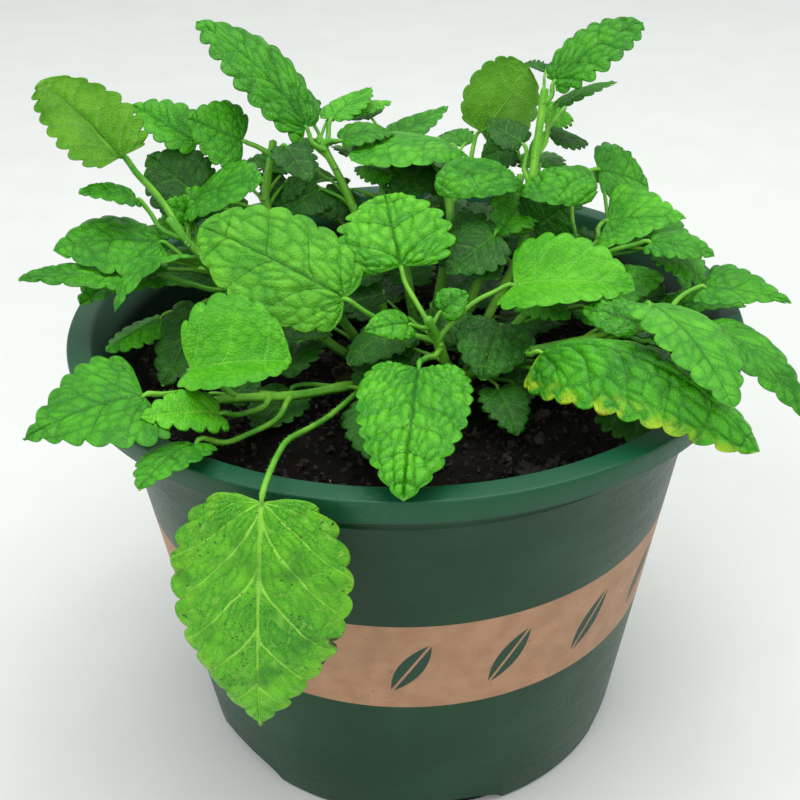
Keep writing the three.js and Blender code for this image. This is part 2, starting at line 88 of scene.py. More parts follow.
class Pile:
    """Closed skins gathered into one mesh. Values are kept at their points, and are 0 where none is given."""

    def __init__(self):
        self.points, self.quads, self.tris = [], [], []
        self.slots = {4: [], 3: []}
        self.values = {}
        self.count = 0

    def add(self, points, quads, tris, slot=0, **values):
        """Adds a closed skin, turned so that its volume, the sum of the volumes that its faces make with
        the origin, comes out above zero."""
        corners = np.concatenate([quads[:, :3], quads[:, [0, 2, 3]], tris])
        a, b, c = (points[corners[:, k]] for k in range(3))
        if np.einsum("ij,ij->", a, np.cross(b, c)) < 0:
            quads, tris = quads[:, ::-1], tris[:, ::-1]
        self.points.append(points)
        self.quads.append(quads + self.count)
        self.tris.append(tris + self.count)
        self.slots[4].append(np.full(len(quads), slot))
        self.slots[3].append(np.full(len(tris), slot))
        for name, value in values.items():
            self.values.setdefault(name, []).append((self.count, value))
        self.count += len(points)

    def make(self, name, materials, smooth=True):
        """Turns the gathered skins into one object that rides on the pot."""
        quads, tris = np.concatenate(self.quads), np.concatenate(self.tris)
        loops = np.concatenate([quads.ravel(), tris.ravel()])
        starts = np.concatenate([np.arange(len(quads)) * 4, len(quads) * 4 + np.arange(len(tris)) * 3])
        slots = np.concatenate(self.slots[4] + self.slots[3])
        mesh = bpy.data.meshes.new(name)
        mesh.vertices.add(self.count)
        mesh.vertices.foreach_set("co", np.concatenate(self.points).ravel())
        mesh.loops.add(len(loops))
        mesh.loops.foreach_set("vertex_index", loops.astype(np.int32))
        mesh.polygons.add(len(starts))
        mesh.polygons.foreach_set("loop_start", starts.astype(np.int32))
        mesh.polygons.foreach_set("material_index", slots.astype(np.int32))
        mesh.polygons.foreach_set("use_smooth", np.full(len(starts), smooth))
        mesh.update(calc_edges=True)
        for key, parts in self.values.items():
            value = np.zeros((self.count, *parts[0][1].shape[1:]), np.float32)
            for first, part in parts:
                value[first : first + len(part)] = part
            kind, field = ("FLOAT_VECTOR", "vector") if value.ndim == 2 else ("FLOAT", "value")
            mesh.attributes.new(key, kind, "POINT").data.foreach_set(field, value.ravel())
        for material in materials:
            mesh.materials.append(material)
        piece = placed(name, mesh)
        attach(piece, "root")
        return piece


def skin(rings, first, last):
    """A closed skin through rings of points: rows by points round, by 3. Each end closes on a pole."""
    rows, around = rings.shape[:2]
    points = np.concatenate([[first], rings.reshape(-1, 3), [last]])
    row, side = np.mgrid[0 : rows - 1, 0:around]
    here = 1 + row * around
    after = (side + 1) % around
    quads = np.stack([here + side, here + after, here + around + after, here + around + side], -1)
    side = np.arange(around)
    after = (side + 1) % around
    end = 1 + (rows - 1) * around
    fans = [0 * side, 1 + after, 1 + side], [end + side, end + after, 0 * side + len(points) - 1]
    return points, quads.reshape(-1, 4), np.concatenate([np.stack(fan, -1) for fan in fans])


def turned(radius, height, around):
    """Rings round Z: one for each radius and height, with points spaced evenly round it."""
    angle = np.arange(around) * 2 * np.pi / around
    radius, height = radius[:, None], height[:, None] + 0 * angle
    return np.stack([radius * np.cos(angle), radius * np.sin(angle), height], -1)


def unit(v):
    return v / np.maximum(norm(v, axis=-1, keepdims=True), 1e-12)


def spline(knots, at):
    """Weights of a natural cubic spline: rows for the places "at", columns for the knots. Second
    differences at the knots come from one linear system, and each place blends its two nearest knots."""
    n = len(knots)
    h = np.diff(knots)
    system = np.eye(n)
    right = np.zeros((n, n))
    for i in range(1, n - 1):
        system[i, i - 1 : i + 2] = [h[i - 1], 2 * (h[i - 1] + h[i]), h[i]]
        right[i, i - 1 : i + 2] = [6 / h[i - 1], -6 / h[i - 1] - 6 / h[i], 6 / h[i]]
    bend = np.linalg.solve(system, right)
    k = np.clip(np.searchsorted(knots, at) - 1, 0, n - 2)
    b = (at - knots[k]) / h[k]
    a = 1 - b
    unit_rows = np.eye(n)
    step = (h[k] ** 2 / 6)[:, None]
    curve = (a**3 - a)[:, None] * bend[k] + (b**3 - b)[:, None] * bend[k + 1]
    return a[:, None] * unit_rows[k] + b[:, None] * unit_rows[k + 1] + step * curve


def runs(points):
    """The distance along a line of points from its start to each of them."""
    return np.concatenate([[0], np.cumsum(norm(np.diff(points, axis=0), axis=1))])


def along_path(points, count):
    """Evenly spaced places on a smooth line through the points, with the direction and run at each."""
    run = runs(points)
    fine = np.linspace(0, run[-1], 8 * count)
    line = spline(run, fine) @ points
    run = runs(line)
    even = np.linspace(0, run[-1], count)
    line = np.stack([np.interp(even, run, line[:, k]) for k in range(3)], -1)
    return line, unit(np.gradient(line, axis=0)), even


def tube(line, ahead, radius, sides, corner=0.0, turn=0.0):
    """A tube round a line: at each place, points stand round it at the radius there, times
    1 + corner * cos(4 * angle), which makes the section a soft square."""
    wanted = np.tile([0.0, 0.0, 1.0], (len(line), 1))
    wanted[np.abs(ahead[:, 2]) > 0.9] = [0.0, -1.0, 0.0]
    across = unit(np.cross(ahead, wanted.mean(0) + 0 * wanted))
    up = np.cross(across, ahead)
    angle = np.arange(sides) * 2 * np.pi / sides + turn
    reach = radius[:, None] * (1 + corner * np.cos(4 * angle))
    sideways = across[:, None] * (reach * np.cos(angle))[..., None]
    return line[:, None] + sideways + up[:, None] * (reach * np.sin(angle))[..., None]


# ---- Reading the CAD nodes ----


def rings_of(node):
    """The rings of a CAD stem or leaf from one pole to the other. A pole is a point with an edge to each
    point of a ring, and a ring is the points that lie the same number of edges from the first pole."""
    mesh = frame["nodes"][node].data
    co = np.empty(len(mesh.vertices) * 3, np.float32)
    mesh.vertices.foreach_get("co", co)
    corner = np.empty(len(mesh.loops), np.int32)
    mesh.loops.foreach_get("vertex_index", corner)
    points, welded = np.unique(co.reshape(-1, 3), axis=0, return_inverse=True)
    tris = welded.ravel()[corner].reshape(-1, 3)
    joined = np.zeros((len(points), len(points)), bool)
    for k in range(3):
        joined[tris[:, k], tris[:, (k + 1) % 3]] = True
    joined |= joined.T
    first, last = np.flatnonzero(joined.sum(1) == SIDES)[[0, -1]]
    depth = np.full(len(points), -1)
    depth[first] = 0
    step = 0
    while (depth < 0).any():
        reached = joined[depth == step].any(0) & (depth < 0)
        step += 1
        depth[reached] = step
    rings = np.stack([points[depth == k] for k in range(1, step)]).astype(float)
    return points[first].astype(float), rings, points[last].astype(float)


def petiole_first(first, rings, last):
    """Turns a leaf's rings round if need be, so that the petiole, whose rings are all one size, leads."""
    size = norm(rings - rings.mean(1, keepdims=True), axis=2).mean(1)
    if size[:PETIOLE_RINGS].std() > size[-PETIOLE_RINGS:].std():
        return last, rings[::-1], first
    return first, rings, last


def blade_net(rings, base, tip):
    """The blade's middle surface at its stations and columns. In each ring the two points furthest apart
    are its edges, and the rest pair up in order across it. The upper side is the one that the flanks bow
    towards."""
    rows = []
    before = None
    for ring in rings:
        gap = norm(ring[:, None] - ring[None], axis=2)
        i, j = np.unravel_index(gap.argmax(), gap.shape)
        across = unit(ring[j] - ring[i])
        if before is not None and across @ before < 0:
            across = -across
        before = across
        p = ring[np.argsort(ring @ across)]
        rows.append([p[0], (p[1] + p[2]) / 2, (p[3] + p[4]) / 2, (p[5] + p[6]) / 2, p[7]])
    rows = np.array(rows)
    middle = rows[:, 2]
    ahead = unit(np.gradient(np.concatenate([[base], middle, [tip]]), axis=0))[1:-1]
    up = np.cross(unit(rows[:, 4] - rows[:, 0]), ahead)
    bow = sum(rows[:, k] - middle - 0.55 * (rows[:, e] - middle) for k, e in ((1, 0), (3, 4)))
    if np.einsum("ij,ij->", bow, up) < 0:
        rows = rows[:, ::-1]
    ends = [np.repeat(p[None, None], 5, 1) for p in (base, tip)]
    return np.concatenate([ends[0], rows, ends[1]])


# ---- Leaves ----


def cells(u, v, rng, jitter=0.42):
    """Cellular pattern on (u, v): one seed in each unit square, moved by up to jitter. Returns how much
    further the second nearest seed is than the nearest: 0 on a cell's border, near 1 in its middle."""
    table = rng.uniform(-jitter, jitter, (64, 64, 2))
    iu, iv = np.floor(u).astype(int), np.floor(v).astype(int)
    near = []
    for du in (-1, 0, 1):
        for dv in (-1, 0, 1):
            seed = table[(iu + du) % 64, (iv + dv) % 64]
            near.append(np.hypot(iu + du + 0.5 + seed[..., 0] - u, iv + dv + 0.5 + seed[..., 1] - v))
    near = np.sort(np.stack(near), axis=0)
    return near[1] - near[0]


def drift(x, y, rng, octaves=3):
    """Smooth noise from about -1 to 1: a sum of plane waves in random directions, each octave half as
    strong and twice as fine."""
    total = np.zeros(np.shape(x))
    for octave in range(octaves):
        for _ in range(4):
            angle, phase = rng.uniform(0, 2 * np.pi, 2)
            k = 2**octave * rng.uniform(0.7, 1.3)
            total += np.sin(k * (x * np.cos(angle) + y * np.sin(angle)) + phase) * 0.5**octave / 3
    return total


def smooth(a, b, x):
    t = np.clip((x - a) / (b - a), 0, 1)
    return t * t * (3 - 2 * t)


def blade(net, rng, style):
    """The blade's skin: a closed tube whose rows run from base to tip, and whose columns go over the
    upper side and back underneath. The middle surface is a cubic spline through the net. The vein number
    q grows along the blade and leads at the midrib, so lines of equal q are veins that sweep forwards on
    their way to the margin. The margin swells between notches, and the surface rises in blisters between
    veins. With the skin go its values for the materials, and the midrib's places and upward directions."""
    angle = np.arccos(1 - 2 * STATIONS)
    spine = net[:, 2]
    length = norm(np.diff(spine, axis=0), axis=1).sum()
    width = norm(net[:, 4] - net[:, 0], axis=1).max()
    rows = int(np.clip(length / style["cell"], 24, 190))
    half = int(np.clip(width / style["cell"] / 2, 8, 60))
    t_angle = np.linspace(0, np.pi, rows + 2)[1:-1]
    s = np.linspace(-1, 1, 2 * half + 1)
    s = np.sign(s) * np.abs(s) ** 0.9
    net = np.einsum("ta,abk->tbk", spline(angle, t_angle), net)
    mid = np.einsum("sb,tbk->tsk", spline(COLUMNS, s), net)
    t = ((1 - np.cos(t_angle)) / 2)[:, None]

    def lie(surface):
        """Directions across, along and out of a surface, and how far one row and one column step."""
        d_t, d_s = np.gradient(surface, axis=0), np.gradient(surface, axis=1)
        out = unit(np.cross(d_s, d_t))
        return unit(d_s), unit(d_t), out, norm(d_t, axis=2), norm(d_s, axis=2)

    across, ahead, out, step_t, step_s = lie(mid)
    x = np.cumsum(step_s, axis=1)
    x = (x - x[:, half : half + 1]) / MM
    y = length * t / MM + 0 * x
    e = np.abs(s)[None]

    # vein number
    edge_run = [runs(mid[:, k]) for k in (0, -1)]
    teeth = max(7, round(edge_run[0][-1] / MM / style["tooth"]))
    wander = 1 + 0.1 * rng.standard_normal(2)
    q = np.empty_like(x)
    for k, (run, part) in enumerate(zip(edge_run, (s < 0, s >= 0))):
        margin = run / run[-1] * teeth / TEETH_PER_VEIN
        lag = style["sweep"] * wander[k]
        start = np.interp(t[:, 0] + lag * (1 - t[:, 0]), t[:, 0], margin)
        w = np.abs(s[part])[None] ** 0.85
        q[:, part] = (1 - w) * start[:, None] + w * margin[:, None]
    q += 0.06 * drift(x / 4, y / 4, rng)
    near_vein = np.abs((q + 0.5) % 1 - 0.5)
    slope = np.hypot(np.gradient(q, axis=0) / (step_t / MM), np.gradient(q, axis=1) / (step_s / MM))
    slope = np.maximum(slope, 1e-3)
    vein_gap = near_vein / slope

    # toothed margin
    phase = (TEETH_PER_VEIN * q) % 1
    lobe = np.abs(np.sin(np.pi * phase)) ** style["round"]
    uneven = 0.85 + 0.4 * drift(y / 4 + x, y / 6, rng, 1)
    size = style["tooth"] * MM * style["depth"] * uneven
    size = size * smooth(0, 0.06, t) * (1 - 0.5 * smooth(0.85, 1, t))
    reach = smooth(0.72, 1, e) ** 1.5
    push = size * (lobe - 0.62) * reach
    mid = mid + across * (np.sign(s)[None] * push)[..., None]
    mid = mid + ahead * (style["lean"] * size * (phase - 0.3) * reach * lobe)[..., None]

    # waves of the whole blade, blisters between the veins and grooves along them
    wave = style["wave"] * MM * drift(x / 7, y / 7, rng, 1) * (0.35 + e**2)
    sway = [0.28 * drift(x / 2.2 + k, y / 2.2, rng, 2) for k in (0, 9)]
    border = cells(style["split"] * q + sway[0], x / style["blister"] + 20 + sway[1], rng, 0.5)
    dome = 1 - np.exp(-border / 0.22)
    fade = smooth(0, 0.5, np.abs(x)) * (1 - 0.55 * smooth(0.8, 1, e))
    fade = fade * smooth(0, 0.05, t) * smooth(1, 0.93, t)
    groove = np.exp(-((vein_gap / (0.42 * (1 - 0.5 * e))) ** 2)) * (1 - 0.6 * e)
    rib = np.exp(-((x / 0.5) ** 2)) * (1 - 0.7 * t)
    puff = 0.6 * np.sqrt(np.minimum(1, vein_gap / 1.8))
    lift = style["rugose"] * MM * ((dome + puff - 0.45 * groove) * fade - 0.5)
    lift += wave * smooth(0, 0.1, t) - 0.15 * MM * rib
    lift *= min(1, width / (14 * MM))
    mid = mid + out * (lift * (1 - 0.5 * reach))[..., None]

    thick = BLADE_THICK * (1 - 0.6 * smooth(0.9, 1, e)) * (1 - 0.4 * t)
    out = lie(mid)[2]
    top = mid + out * (thick * 0.5)[..., None]
    under = mid - out * (thick * 0.5)[..., None]
    rings = np.concatenate([top, under[:, -2:0:-1]], axis=1)
    rings[:, 0], rings[:, 2 * half] = mid[:, 0], mid[:, -1]
    points, quads, tris = skin(rings, spine[0], spine[-1])

    def spread(value, first=0.0, last=0.0, beneath=1):
        """Values of the middle surface, laid on both sides of the skin and on its two poles."""
        flat = np.concatenate([value, beneath * value[:, -2:0:-1]], axis=1).reshape(-1, *value.shape[2:])
        pole = 0 * flat[:1]
        return np.concatenate([pole + first, flat, pole + last])

    values = {
        "lay": spread(np.stack([x, y, rng.uniform(0, 50) + 0 * x], -1)),
        "vein": spread(np.stack([q, slope, e + 0 * x], -1)),
        "border": spread(border),
        "place": spread(t + 0 * x, 0, 1),
        "side": spread(1 + 0 * x, 1, 1, beneath=0),
    }
    return (points, quads, tris), values, mid[:, half], out[:, half]


def stalk(pile, start, centres, radius, spine, out, slot):
    """The petiole and the midrib under the blade: one tube that starts inside the stem, follows the
    petiole, runs under the blade and thins out before its tip."""
    keep = len(spine) * 7 // 8
    step = max(1, keep // 12)
    under = (spine - out * radius * 0.55)[step:keep:step]
    back = unit(start - centres[1])
    path = np.concatenate([[start + back * 1.2 * MM], [start], centres[1:], under])
    path_run = runs(path)
    count = int(np.clip(path_run[-1] / (0.9 * MM), 24, 110))
    line, ahead, run = along_path(path, count)
    bare_run = path_run[len(centres)]
    share = np.clip((run - bare_run) / max(run[-1] - bare_run, 1e-6), 0, 1)
    thick = radius * np.where(run < bare_run, 0.86 - 0.14 * run / bare_run, 0.6 - 0.5 * share**0.5)
    thick = thick * (1 + 0.5 * np.exp(-((run / (1.6 * MM)) ** 2)))
    rings = tube(line, ahead, thick, 10, 0.05)
    pile.add(*skin(rings, line[0] - ahead[0] * thick[0], line[-1] + ahead[-1] * thick[-1]), slot=slot)
    return line, ahead, thick


def hairs(pile, line, ahead, thick, per_mm, long_mm, rng, slot):
    """Fine hairs standing out from a tube: each is a cone of three sides."""
    count = int(runs(line)[-1] / MM * per_mm)
    if count < 1:
        return
    at = rng.uniform(0, len(line) - 1.001, count)
    i, f = at.astype(int), (at % 1)[:, None]
    centre = line[i] * (1 - f) + line[i + 1] * f
    out = unit(np.cross(ahead[i], rng.standard_normal((count, 3))))
    lean = unit(out + 0.35 * rng.standard_normal((count, 3)))
    foot = centre + out * thick[i][:, None] * 0.9
    tip = foot + lean * (long_mm * MM * rng.uniform(0.5, 1.2, count))[:, None]
    side = unit(np.cross(lean, ahead[i]))
    other = np.cross(lean, side)
    ring = [foot + HAIR_THICK * (side * math.cos(a) + other * math.sin(a)) for a in (0, 2.094, 4.189)]
    points = np.stack([*ring, tip], 1).reshape(-1, 3)
    base = np.arange(count)[:, None] * 4
    faces = np.concatenate([base + np.array(f) for f in ([0, 2, 1], [0, 1, 3], [1, 2, 3], [2, 0, 3])])
    pile.add(points, np.empty((0, 4), int), faces, slot=slot)


# ---- Materials ----


class Finish:
    """A node material in the making: small helpers that each add one node and return its output."""

    def __init__(self, name):
        self.material = bpy.data.materials.new(name)
        self.material.use_nodes = True
        self.tree = self.material.node_tree
        self.shader = self.tree.nodes["Principled BSDF"]

    def node(self, kind, inputs=(), **settings):
        made = self.tree.nodes.new(kind)
        for key, value in settings.items():
            setattr(made, key, value)
        for key, value in dict(inputs).items():
            self.put(made.inputs[key], value)
        return made

    def put(self, socket, value):
        if isinstance(value, bpy.types.NodeSocket):
            self.tree.links.new(value, socket)
        elif value is not None:
            socket.default_value = value

    def math(self, operation, a, b=None, c=None):
        made = self.node("ShaderNodeMath", operation=operation)
        for socket, value in zip(made.inputs, (a, b, c)):
            self.put(socket, value)
        return made.outputs[0]

    def times(self, a, b):
        return self.math("MULTIPLY", a, b)

    def place(self):
        return self.node("ShaderNodeTexCoord").outputs["Object"]

    def attribute(self, name, output="Fac"):
        return self.node("ShaderNodeAttribute", attribute_name=name).outputs[output]

    def parts(self, vector):
        return self.node("ShaderNodeSeparateXYZ", {"Vector": vector}).outputs

    def vector(self, x, y, z):
        return self.node("ShaderNodeCombineXYZ", {"X": x, "Y": y, "Z": z}).outputs[0]

    def scaled(self, vector, factor):
        return self.node("ShaderNodeMapping", {"Vector": vector, "Scale": factor}).outputs[0]

    def ramp(self, value, low, high, to_low=0.0, to_high=1.0):
        inputs = {"Value": value, "From Min": low, "From Max": high, "To Min": to_low, "To Max": to_high}
        made = self.node("ShaderNodeMapRange", inputs, interpolation_type="SMOOTHSTEP")
        return made.outputs[0]

    def noise(self, vector, scale, detail):
        inputs = {"Vector": vector, "Scale": scale, "Detail": detail, "Roughness": 0.55}
        return self.node("ShaderNodeTexNoise", inputs).outputs["Fac"]

    def voronoi(self, vector, scale, feature="DISTANCE_TO_EDGE"):
        made = self.node("ShaderNodeTexVoronoi", {"Vector": vector, "Scale": scale}, feature=feature)
        return made.outputs["Distance"]

    def mix(self, share, a, b):
        made = self.node("ShaderNodeMix", data_type="RGBA")
        self.put(made.inputs["Factor"], share)
        for socket, value in (("A_Color", a), ("B_Color", b)):
            target = next(i for i in made.inputs if i.identifier == socket)
            self.put(target, (*value, 1) if isinstance(value, tuple) and len(value) == 3 else value)
        return next(o for o in made.outputs if o.identifier == "Result_Color")

    def bump(self, height, distance, strength):
        inputs = {"Height": height, "Distance": distance, "Strength": strength}
        return self.node("ShaderNodeBump", inputs).outputs[0]

    def done(self, colour, roughness, normal, **sockets):
        self.put(self.shader.inputs["Base Color"], colour)
        self.put(self.shader.inputs["Roughness"], roughness)
        self.put(self.shader.inputs["Normal"], normal)
        for key, value in sockets.items():
            self.shader.inputs[key.replace("_", " ")].default_value = value
        return self.material


def leaf_finish(name, deep, light, vein, vein_and_shade_share, gloss=0.42, spots=0.0, yellow=0.0):
    """Leaf green that drifts between deep and light, with midrib, side veins, a fine net and the blisters'
    borders in the vein colour. A pale vein colour is the veins' own; a dark one is painted shade in the
    grooves along the veins and between the blisters. The tone is paler on the blisters' tops and darker at
    their borders, painted shade in the hollows. The underside is yellower. gloss is the roughness, yellow
    how far the margin has turned, and spots how strong the brown freckles and marks are."""
    f = Finish(name)
    lay = f.attribute("lay", "Vector")
    x, y, seed = f.parts(lay)
    q, slope, edge = f.parts(f.attribute("vein", "Vector"))
    border, side, place = (f.attribute(key) for key in ("border", "side", "place"))
    near = f.math("ABSOLUTE", f.math("SUBTRACT", f.math("FRACT", f.math("ADD", q, 0.5)), 0.5))
    gap = f.math("DIVIDE", near, slope)
    inner, outer = f.ramp(place, 0, 1, 0.2, 0.05), f.ramp(place, 0, 1, 0.75, 0.3)
    rib = f.ramp(f.math("ABSOLUTE", x), inner, outer, 1, 0)
    line = f.ramp(gap, 0.08, f.ramp(edge, 0, 1, 0.5, 0.25), f.ramp(edge, 0.3, 1, 1, 0.5), 0)
    net = f.ramp(f.voronoi(lay, 1.0), 0.0, 0.1, 0.25, 0.0)
    # The blisters' borders join the net: with a dark vein colour they are painted shade between the blisters.
    net = f.math("MAXIMUM", net, f.ramp(border, 0.0, 0.14, 0.5, 0.0))
    veins = f.math("MAXIMUM", rib, f.math("MAXIMUM", line, net))
    broad = f.noise(lay, 0.09, 2)
    fine = f.noise(lay, 1.4, 4)
    # Painted shade: the tone darkens towards each blister's border, the hollow between blisters, and is paler
    # on its top.
    tone = f.math("MULTIPLY_ADD", f.ramp(border, 0.0, 0.6), 0.2, f.times(broad, 0.9))
    tone = f.math("MULTIPLY_ADD", fine, 0.25, f.math("SUBTRACT", tone, 0.2))
    green = f.mix(f.ramp(tone, 0.15, 0.85), deep, light)
    if yellow:
        turned = f.times(f.ramp(edge, 0.6, 1.0), f.ramp(f.noise(lay, 0.22, 3), 0.42, 0.62))
        green = f.mix(f.times(turned, yellow), green, (0.3, 0.5, 0.012))
        dry = f.times(f.ramp(edge, 0.88, 1.0), f.ramp(f.noise(lay, 0.35, 2), 0.56, 0.68))
        green = f.mix(f.times(dry, yellow * 0.6), green, (0.25, 0.12, 0.015))
    # Painted shade where the vein colour is dark: midrib, veins, net and blister borders darken like shaded
    # grooves.
    green = f.mix(f.times(veins, vein_and_shade_share), green, vein)
    if spots:
        freckle = f.ramp(f.voronoi(lay, 0.8, "F1"), 0.1, 0.3, 1, 0)
        patch = f.ramp(f.noise(lay, 0.14, 3), 0.48, 0.62)
        freckle = f.times(f.times(freckle, patch), spots)
        green = f.mix(freckle, green, (0.03, 0.035, 0.01))
        spot = f.node("ShaderNodeVectorMath", {0: f.vector(x, y, 0.0), 1: SCORCH}, operation="DISTANCE")
        torn = f.math("MULTIPLY_ADD", f.noise(lay, 0.9, 3), 3.0, spot.outputs["Value"])
        green = f.mix(f.ramp(torn, 2.6, 4.2, spots, 0), green, (0.035, 0.018, 0.006))
        blotch = f.ramp(f.noise(lay, 0.1, 2), 0.5, 0.72)
        green = f.mix(f.times(blotch, spots * 0.55), green, (0.012, 0.13, 0.003))
    below = f.mix(f.ramp(broad, 0.3, 0.7), (0.11, 0.38, 0.015), (0.19, 0.53, 0.03))
    below = f.mix(f.times(veins, 0.5), below, (0.22, 0.48, 0.09))
    grain = f.math("MULTIPLY_ADD", f.noise(lay, 5.0, 2), 0.4, f.ramp(f.voronoi(lay, 1.1), 0.0, 0.3))
    rough = f.ramp(f.noise(lay, 0.8, 3), 0.25, 0.75, gloss - 0.08, gloss + 0.12)
    return f.done(f.mix(side, below, green), rough, f.bump(grain, 0.00022, 0.55), Specular_IOR_Level=0.27)


def stalk_finish(name, deep, light):
    """Stalk green that drifts along its length, with fine ribs."""
    f = Finish(name)
    place = f.place()
    broad = f.noise(place, 90, 3)
    fine = f.noise(place, 1400, 2)
    colour = f.mix(f.ramp(broad, 0.3, 0.7), deep, light)
    colour = f.mix(f.ramp(fine, 0.5, 0.75, 0, 0.3), colour, (0.3, 0.55, 0.12))
    rough = f.ramp(fine, 0.3, 0.7, 0.42, 0.6)
    return f.done(colour, rough, f.bump(fine, 0.0001, 0.5), Specular_IOR_Level=0.3)


def plain(name, deep, light, rough, scale, grain=0.0002):
    """A rough, mottled finish for soil, root and other dull things."""
    f = Finish(name)
    place = f.place()
    broad, fine = f.noise(place, scale, 4), f.noise(place, scale * 9, 3)
    mixed = f.math("MULTIPLY_ADD", fine, 0.5, f.times(broad, 0.5))
    colour = f.mix(f.ramp(mixed, 0.35, 0.68), deep, light)
    return f.done(colour, rough, f.bump(mixed, grain, 0.8), Specular_IOR_Level=0.15)


# ---- Leaves and stems ----

VEIN_PALE = (0.19, 0.5, 0.04)
# Painted shade: a dark green that stands for the shade in the grooves along veins and between blisters.
PAINTED_GROOVE_SHADE = (0.008, 0.085, 0.002)
VEIN_LIME = (0.3, 0.66, 0.07)
SCORCH = (-17.5, 34, 0)  # middle of a scorched mark: millimetres from the midrib, and along it
# deep and light green, the veins' colour and share, then roughness, spots and yellow where they differ. A
# dark vein colour is painted shade in the grooves along the veins and between the blisters.
LEAF_GREENS = {
    "fresh": ((0.02, 0.2, 0.002), (0.09, 0.43, 0.008), PAINTED_GROOVE_SHADE, 0.5),
    "crisp": ((0.03, 0.25, 0.002), (0.11, 0.46, 0.01), PAINTED_GROOVE_SHADE, 0.7, 0.34),
    "bright": ((0.03, 0.25, 0.001), (0.095, 0.43, 0.005), VEIN_PALE, 0.4),
    "mature": ((0.014, 0.15, 0.001), (0.06, 0.34, 0.004), PAINTED_GROOVE_SHADE, 0.55),
    "matte": ((0.04, 0.24, 0.006), (0.12, 0.44, 0.016), PAINTED_GROOVE_SHADE, 0.6, 0.5),
    "glossy": ((0.02, 0.2, 0.002), (0.09, 0.42, 0.008), PAINTED_GROOVE_SHADE, 0.65, 0.28),
    # Painted shade: a darkened copy of the leaf green for leaves low down in the shade of others.
    "dark": ((0.004, 0.055, 0.001), (0.018, 0.14, 0.003), VEIN_PALE, 0.12, 0.45),
    "hanging": ((0.02, 0.22, 0.002), (0.12, 0.47, 0.006), VEIN_LIME, 0.85, 0.34, 1.0, 0.25),
    "turning": ((0.012, 0.15, 0.002), (0.07, 0.4, 0.006), PAINTED_GROOVE_SHADE, 0.55, 0.32, 0.35, 1.0),
}
finishes = {name: leaf_finish("leaf_" + name, *look) for name, look in LEAF_GREENS.items()}
stalk_green = stalk_finish("stalk_green", (0.05, 0.27, 0.012), (0.16, 0.45, 0.03))

# What sets a blade's form. In millimetres: rugose is the height of the blisters, tooth the distance from
# tooth to tooth, wave the height of the broad waves, and blister how wide the blisters are. As shares:
# depth of a tooth, lean how far the teeth point forwards, split the blisters between two veins, sweep
# how far the veins run forwards, and round how pointed (1) or full (0) the teeth are.
FORMS = "rugose", "tooth", "depth", "wave", "blister", "lean", "split", "sweep"
STYLES = {
    "rugose": (1, 4.8, 0.34, 0.6, 2.6, 0.2, 2, 0.26),
    "pleated": (0.7, 5.8, 0.42, 1, 3.2, 0.5, 2, 0.38),
    "even": (0.4, 5.6, 0.42, 1.1, 3, 0.5, 3, 0.38),
    "soft": (0.25, 6, 0.42, 1.2, 3.4, 0.5, 3, 0.38),
    "young": (0.7, 2.8, 0.3, 0.4, 1.5, 0.2, 3, 0.38),
}
STYLES = {name: dict(zip(FORMS, row), round=0.6, cell=CELL) for name, row in STYLES.items()}
LOOKS = {
    "leaf_centre_front": ("rugose", "glossy", {"tooth": 4.6, "rugose": 1.15, "blister": 2.2}),
    "leaf_centre_back": ("pleated", "crisp", {"depth": 0.62, "round": 1, "tooth": 4.6, "rugose": 0.9}),
    "leaf_centre_left": ("pleated", "matte", {"tooth": 6, "rugose": 0.8, "depth": 0.4}),
    "leaf_centre_right": ("soft", "bright", {"rugose": 0.35, "depth": 0.5, "tooth": 5.6}),
    "leaf_centre_young_left": ("young", "glossy"),
    "leaf_centre_young_right": ("young", "glossy"),
    "leaf_right_young": ("young", "glossy"),
    "leaf_cluster_left": ("rugose", "mature"),
    "leaf_cluster_right": ("rugose", "mature"),
    "leaf_runner_upper": ("even", "bright", {"rugose": 0.35}),
    "leaf_runner_lower": ("soft", "bright"),
    "leaf_front_hanging": (
        "even",
        "hanging",
        {"tooth": 6.6, "depth": 0.4, "cell": CELL * 0.85, "blister": 3.4, "sweep": 0.46},
    ),
    "leaf_front_large": ("rugose", "turning", {"rugose": 0.7, "tooth": 5.4}),
    "leaf_rim_left": ("even", "mature", {"depth": 0.5, "round": 0.9, "tooth": 5}),
    "leaf_left_upper": ("even", "matte", {"tooth": 4.6, "depth": 0.6, "round": 1}),
    "leaf_top_left": ("pleated", "mature", {"tooth": 5.4, "depth": 0.6, "round": 1}),
    "leaf_top_right": ("pleated", "mature", {"tooth": 4.6, "depth": 0.6, "round": 1}),
    "leaf_back_light": ("soft", "fresh"),
    "leaf_far_right": ("soft", "fresh"),
    "leaf_rim_right_front": ("soft", "fresh"),
    "leaf_back_fan": ("soft", "bright", {"tooth": 5, "depth": 0.5}),
}
slots = {part["node"]: part["material_slot"] for part in frame["record"]["subparts"]}


def grow_leaf(pile, net, start, centres, radius, style, slot, stalk_slot, hairy, rng):
    """Adds one leaf to a pile: its blade, its petiole with the midrib, and the hairs on them."""
    shape, values, spine, out = blade(net, rng, style)
    pile.add(*shape, slot=slot, **values)
    line, ahead, thick = stalk(pile, start, centres, radius, spine, out, stalk_slot)
    share, per_mm, long_mm = hairy
    keep = max(3, int(len(line) * share))
    hairs(pile, line[:keep], ahead, thick, per_mm, long_mm, rng, stalk_slot)


